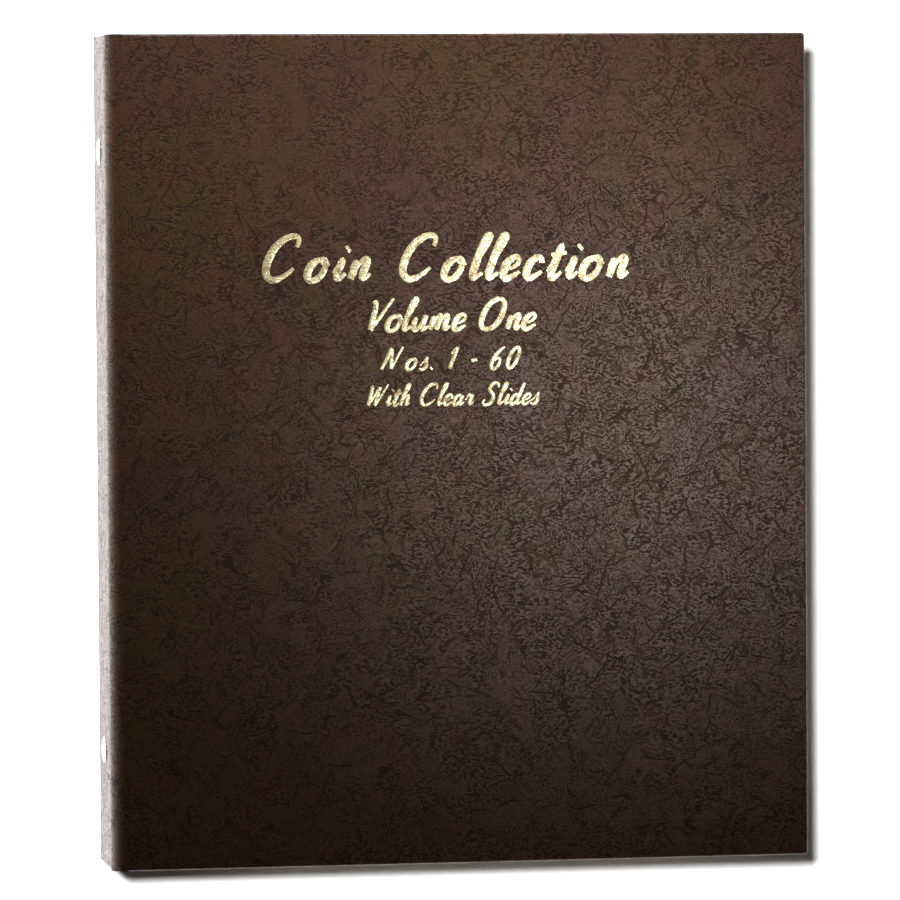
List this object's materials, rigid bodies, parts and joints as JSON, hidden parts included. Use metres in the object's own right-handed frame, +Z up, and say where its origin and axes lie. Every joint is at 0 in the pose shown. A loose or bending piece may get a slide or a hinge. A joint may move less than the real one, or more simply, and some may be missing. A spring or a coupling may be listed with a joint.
{
  "type": "coin album",
  "caption": "Ring-bound coin album with leatherette covers, punched coin leaves and clear pull-out slides that hold each coin in view on both faces.",
  "frame": {"origin": "under the middle of the closed album's footprint, on the surface that it lies on", "axes": "+X from the spine to the fore-edge, +Y to the head, +Z up out of the front cover"},
  "size_m": [0.1898, 0.222, 0.034],
  "materials": {
    "leatherette": "embossed crushed grain, dark brown",
    "greyboard": "matt",
    "lining_paper": "fine woven emboss, brown",
    "nickel_plate": "nickel plated",
    "nickel_wire": "nickel plated",
    "steel_rail": "plain spring steel",
    "steel_pin": "ground",
    "leaf_card": "matt",
    "binding_strip": "flexible cloth-grained strip",
    "printed_facing": "embossed leaf paper",
    "clear_slide": "clear acetate"
  },
  "bodies": {
    "back_cover": {"back_leatherette": "leatherette", "back_board": "greyboard", "back_lining": "lining_paper"},
    "front_cover": {"front_leatherette": "leatherette", "front_board": "greyboard", "front_lining": "lining_paper", "front_hinge_strip": "leatherette"},
    "spine": {"spine_leatherette": "leatherette", "spine_board": "greyboard", "spine_lining": "lining_paper", "back_hinge_strip": "leatherette", "ring_housing": "nickel_plate", "rivets": "nickel_plate", "lever_pins": "steel_pin"},
    "upper_ring_halves": {"upper_rail": "steel_rail", "ring_1_upper": "nickel_wire", "ring_2_upper": "nickel_wire", "ring_3_upper": "nickel_wire"},
    "lower_ring_halves": {"lower_rail": "steel_rail", "ring_1_lower": "nickel_wire", "ring_2_lower": "nickel_wire", "ring_3_lower": "nickel_wire"},
    "head_lever": {"head_lever": "nickel_plate"},
    "tail_lever": {"tail_lever": "nickel_plate"},
    "leaf_1": {"leaf_1_core": "leaf_card", "leaf_1_binding_strip": "binding_strip", "leaf_1_front_facing": "printed_facing", "leaf_1_back_facing": "printed_facing"},
    "leaf_1_front_slide_1": {"leaf_1_front_slide_1": "clear_slide"},
    "leaf_1_front_slide_2": {"leaf_1_front_slide_2": "clear_slide"},
    "leaf_1_front_slide_3": {"leaf_1_front_slide_3": "clear_slide"},
    "leaf_1_front_slide_4": {"leaf_1_front_slide_4": "clear_slide"},
    "leaf_1_back_slide_1": {"leaf_1_back_slide_1": "clear_slide"},
    "leaf_1_back_slide_2": {"leaf_1_back_slide_2": "clear_slide"},
    "leaf_1_back_slide_3": {"leaf_1_back_slide_3": "clear_slide"},
    "leaf_1_back_slide_4": {"leaf_1_back_slide_4": "clear_slide"},
    "leaf_2": {"leaf_2_core": "leaf_card", "leaf_2_binding_strip": "binding_strip", "leaf_2_front_facing": "printed_facing", "leaf_2_back_facing": "printed_facing"},
    "leaf_2_front_slides": {"leaf_2_front_slides": "clear_slide"},
    "leaf_2_back_slides": {"leaf_2_back_slides": "clear_slide"},
    "leaf_3": {"leaf_3_core": "leaf_card", "leaf_3_binding_strip": "binding_strip", "leaf_3_front_facing": "printed_facing", "leaf_3_back_facing": "printed_facing"},
    "leaf_3_front_slides": {"leaf_3_front_slides": "clear_slide"},
    "leaf_3_back_slides": {"leaf_3_back_slides": "clear_slide"},
    "leaf_4": {"leaf_4_core": "leaf_card", "leaf_4_binding_strip": "binding_strip", "leaf_4_front_facing": "printed_facing", "leaf_4_back_facing": "printed_facing"},
    "leaf_4_front_slides": {"leaf_4_front_slides": "clear_slide"},
    "leaf_4_back_slides": {"leaf_4_back_slides": "clear_slide"},
    "leaf_5": {"leaf_5_core": "leaf_card", "leaf_5_binding_strip": "binding_strip", "leaf_5_front_facing": "printed_facing", "leaf_5_back_facing": "printed_facing"},
    "leaf_5_front_slides": {"leaf_5_front_slides": "clear_slide"},
    "leaf_5_back_slides": {"leaf_5_back_slides": "clear_slide"}
  },
  "joints": [
    {"name": "cover_hinge", "type": "hinge", "parent": "spine", "child": "front_cover", "pos_m": [-0.0928, 0, 0.0327], "axis": [0, -1, 0], "range_deg": [0, 90], "deforming": ["front_hinge_strip"]},
    {"name": "spine_hinge", "type": "hinge", "parent": "back_cover", "child": "spine", "pos_m": [-0.0928, 0, 0.0013], "axis": [0, -1, 0], "range_deg": [0, 90], "deforming": ["back_hinge_strip"]},
    {"name": "leaf_1_turn", "type": "hinge", "parent": "spine", "child": "leaf_1", "pos_m": [-0.0771, 0, 0.017], "axis": [0, -1, 0], "range_deg": [0, 90]},
    {"name": "leaf_2_turn", "type": "hinge", "parent": "spine", "child": "leaf_2", "pos_m": [-0.0771, 0, 0.017], "axis": [0, -1, 0], "range_deg": [0, 90]},
    {"name": "leaf_3_turn", "type": "hinge", "parent": "spine", "child": "leaf_3", "pos_m": [-0.0771, 0, 0.017], "axis": [0, -1, 0], "range_deg": [0, 90]},
    {"name": "leaf_4_turn", "type": "hinge", "parent": "spine", "child": "leaf_4", "pos_m": [-0.0771, 0, 0.017], "axis": [0, -1, 0], "range_deg": [-90, 0]},
    {"name": "leaf_5_turn", "type": "hinge", "parent": "spine", "child": "leaf_5", "pos_m": [-0.0771, 0, 0.017], "axis": [0, -1, 0], "range_deg": [-90, 0]},
    {"name": "upper_ring_swing", "type": "hinge", "parent": "spine", "child": "upper_ring_halves", "pos_m": [-0.0894, 0, 0.02245], "axis": [0, -1, 0], "range_deg": [0, 13]},
    {"name": "lower_ring_swing", "type": "hinge", "parent": "spine", "child": "lower_ring_halves", "pos_m": [-0.0894, 0, 0.01155], "axis": [0, -1, 0], "range_deg": [-14, 0]},
    {"name": "head_lever_turn", "type": "hinge", "parent": "spine", "child": "head_lever", "pos_m": [-0.089, 0.09, 0.017], "axis": [0, 0, 1], "range_deg": [0, 21]},
    {"name": "tail_lever_turn", "type": "hinge", "parent": "spine", "child": "tail_lever", "pos_m": [-0.089, -0.09, 0.017], "axis": [0, 0, 1], "range_deg": [-21, 0]},
    {"name": "leaf_1_front_slide_1_pull", "type": "slide", "parent": "leaf_1", "child": "leaf_1_front_slide_1", "axis": [1, 0, 0], "range_m": [0, 0.128]},
    {"name": "leaf_1_front_slide_2_pull", "type": "slide", "parent": "leaf_1", "child": "leaf_1_front_slide_2", "axis": [1, 0, 0], "range_m": [0, 0.128]},
    {"name": "leaf_1_front_slide_3_pull", "type": "slide", "parent": "leaf_1", "child": "leaf_1_front_slide_3", "axis": [1, 0, 0], "range_m": [0, 0.128]},
    {"name": "leaf_1_front_slide_4_pull", "type": "slide", "parent": "leaf_1", "child": "leaf_1_front_slide_4", "axis": [1, 0, 0], "range_m": [0, 0.128]},
    {"name": "leaf_1_back_slide_1_pull", "type": "slide", "parent": "leaf_1", "child": "leaf_1_back_slide_1", "axis": [1, 0, 0], "range_m": [0, 0.128]},
    {"name": "leaf_1_back_slide_2_pull", "type": "slide", "parent": "leaf_1", "child": "leaf_1_back_slide_2", "axis": [1, 0, 0], "range_m": [0, 0.128]},
    {"name": "leaf_1_back_slide_3_pull", "type": "slide", "parent": "leaf_1", "child": "leaf_1_back_slide_3", "axis": [1, 0, 0], "range_m": [0, 0.128]},
    {"name": "leaf_1_back_slide_4_pull", "type": "slide", "parent": "leaf_1", "child": "leaf_1_back_slide_4", "axis": [1, 0, 0], "range_m": [0, 0.128]},
    {"name": "leaf_2_front_slides_pull", "type": "slide", "parent": "leaf_2", "child": "leaf_2_front_slides", "axis": [1, 0, 0], "range_m": [0, 0.128]},
    {"name": "leaf_2_back_slides_pull", "type": "slide", "parent": "leaf_2", "child": "leaf_2_back_slides", "axis": [1, 0, 0], "range_m": [0, 0.128]},
    {"name": "leaf_3_front_slides_pull", "type": "slide", "parent": "leaf_3", "child": "leaf_3_front_slides", "axis": [1, 0, 0], "range_m": [0, 0.128]},
    {"name": "leaf_3_back_slides_pull", "type": "slide", "parent": "leaf_3", "child": "leaf_3_back_slides", "axis": [1, 0, 0], "range_m": [0, 0.128]},
    {"name": "leaf_4_front_slides_pull", "type": "slide", "parent": "leaf_4", "child": "leaf_4_front_slides", "axis": [1, 0, 0], "range_m": [0, 0.128]},
    {"name": "leaf_4_back_slides_pull", "type": "slide", "parent": "leaf_4", "child": "leaf_4_back_slides", "axis": [1, 0, 0], "range_m": [0, 0.128]},
    {"name": "leaf_5_front_slides_pull", "type": "slide", "parent": "leaf_5", "child": "leaf_5_front_slides", "axis": [1, 0, 0], "range_m": [0, 0.128]},
    {"name": "leaf_5_back_slides_pull", "type": "slide", "parent": "leaf_5", "child": "leaf_5_back_slides", "axis": [1, 0, 0], "range_m": [0, 0.128]}
  ],
  "couplings": [
    {"joint": "spine_hinge", "follows": "cover_hinge", "ratio": 1},
    {"joint": "leaf_1_turn", "follows": "cover_hinge", "ratio": 1},
    {"joint": "leaf_2_turn", "follows": "cover_hinge", "ratio": 1},
    {"joint": "leaf_3_turn", "follows": "cover_hinge", "ratio": 1},
    {"joint": "leaf_4_turn", "follows": "cover_hinge", "ratio": -1},
    {"joint": "leaf_5_turn", "follows": "cover_hinge", "ratio": -1},
    {"joint": "lower_ring_swing", "follows": "upper_ring_swing", "ratio": -1},
    {"joint": "head_lever_turn", "follows": "upper_ring_swing", "ratio": 1.5},
    {"joint": "tail_lever_turn", "follows": "upper_ring_swing", "ratio": -1.5}
  ]
}
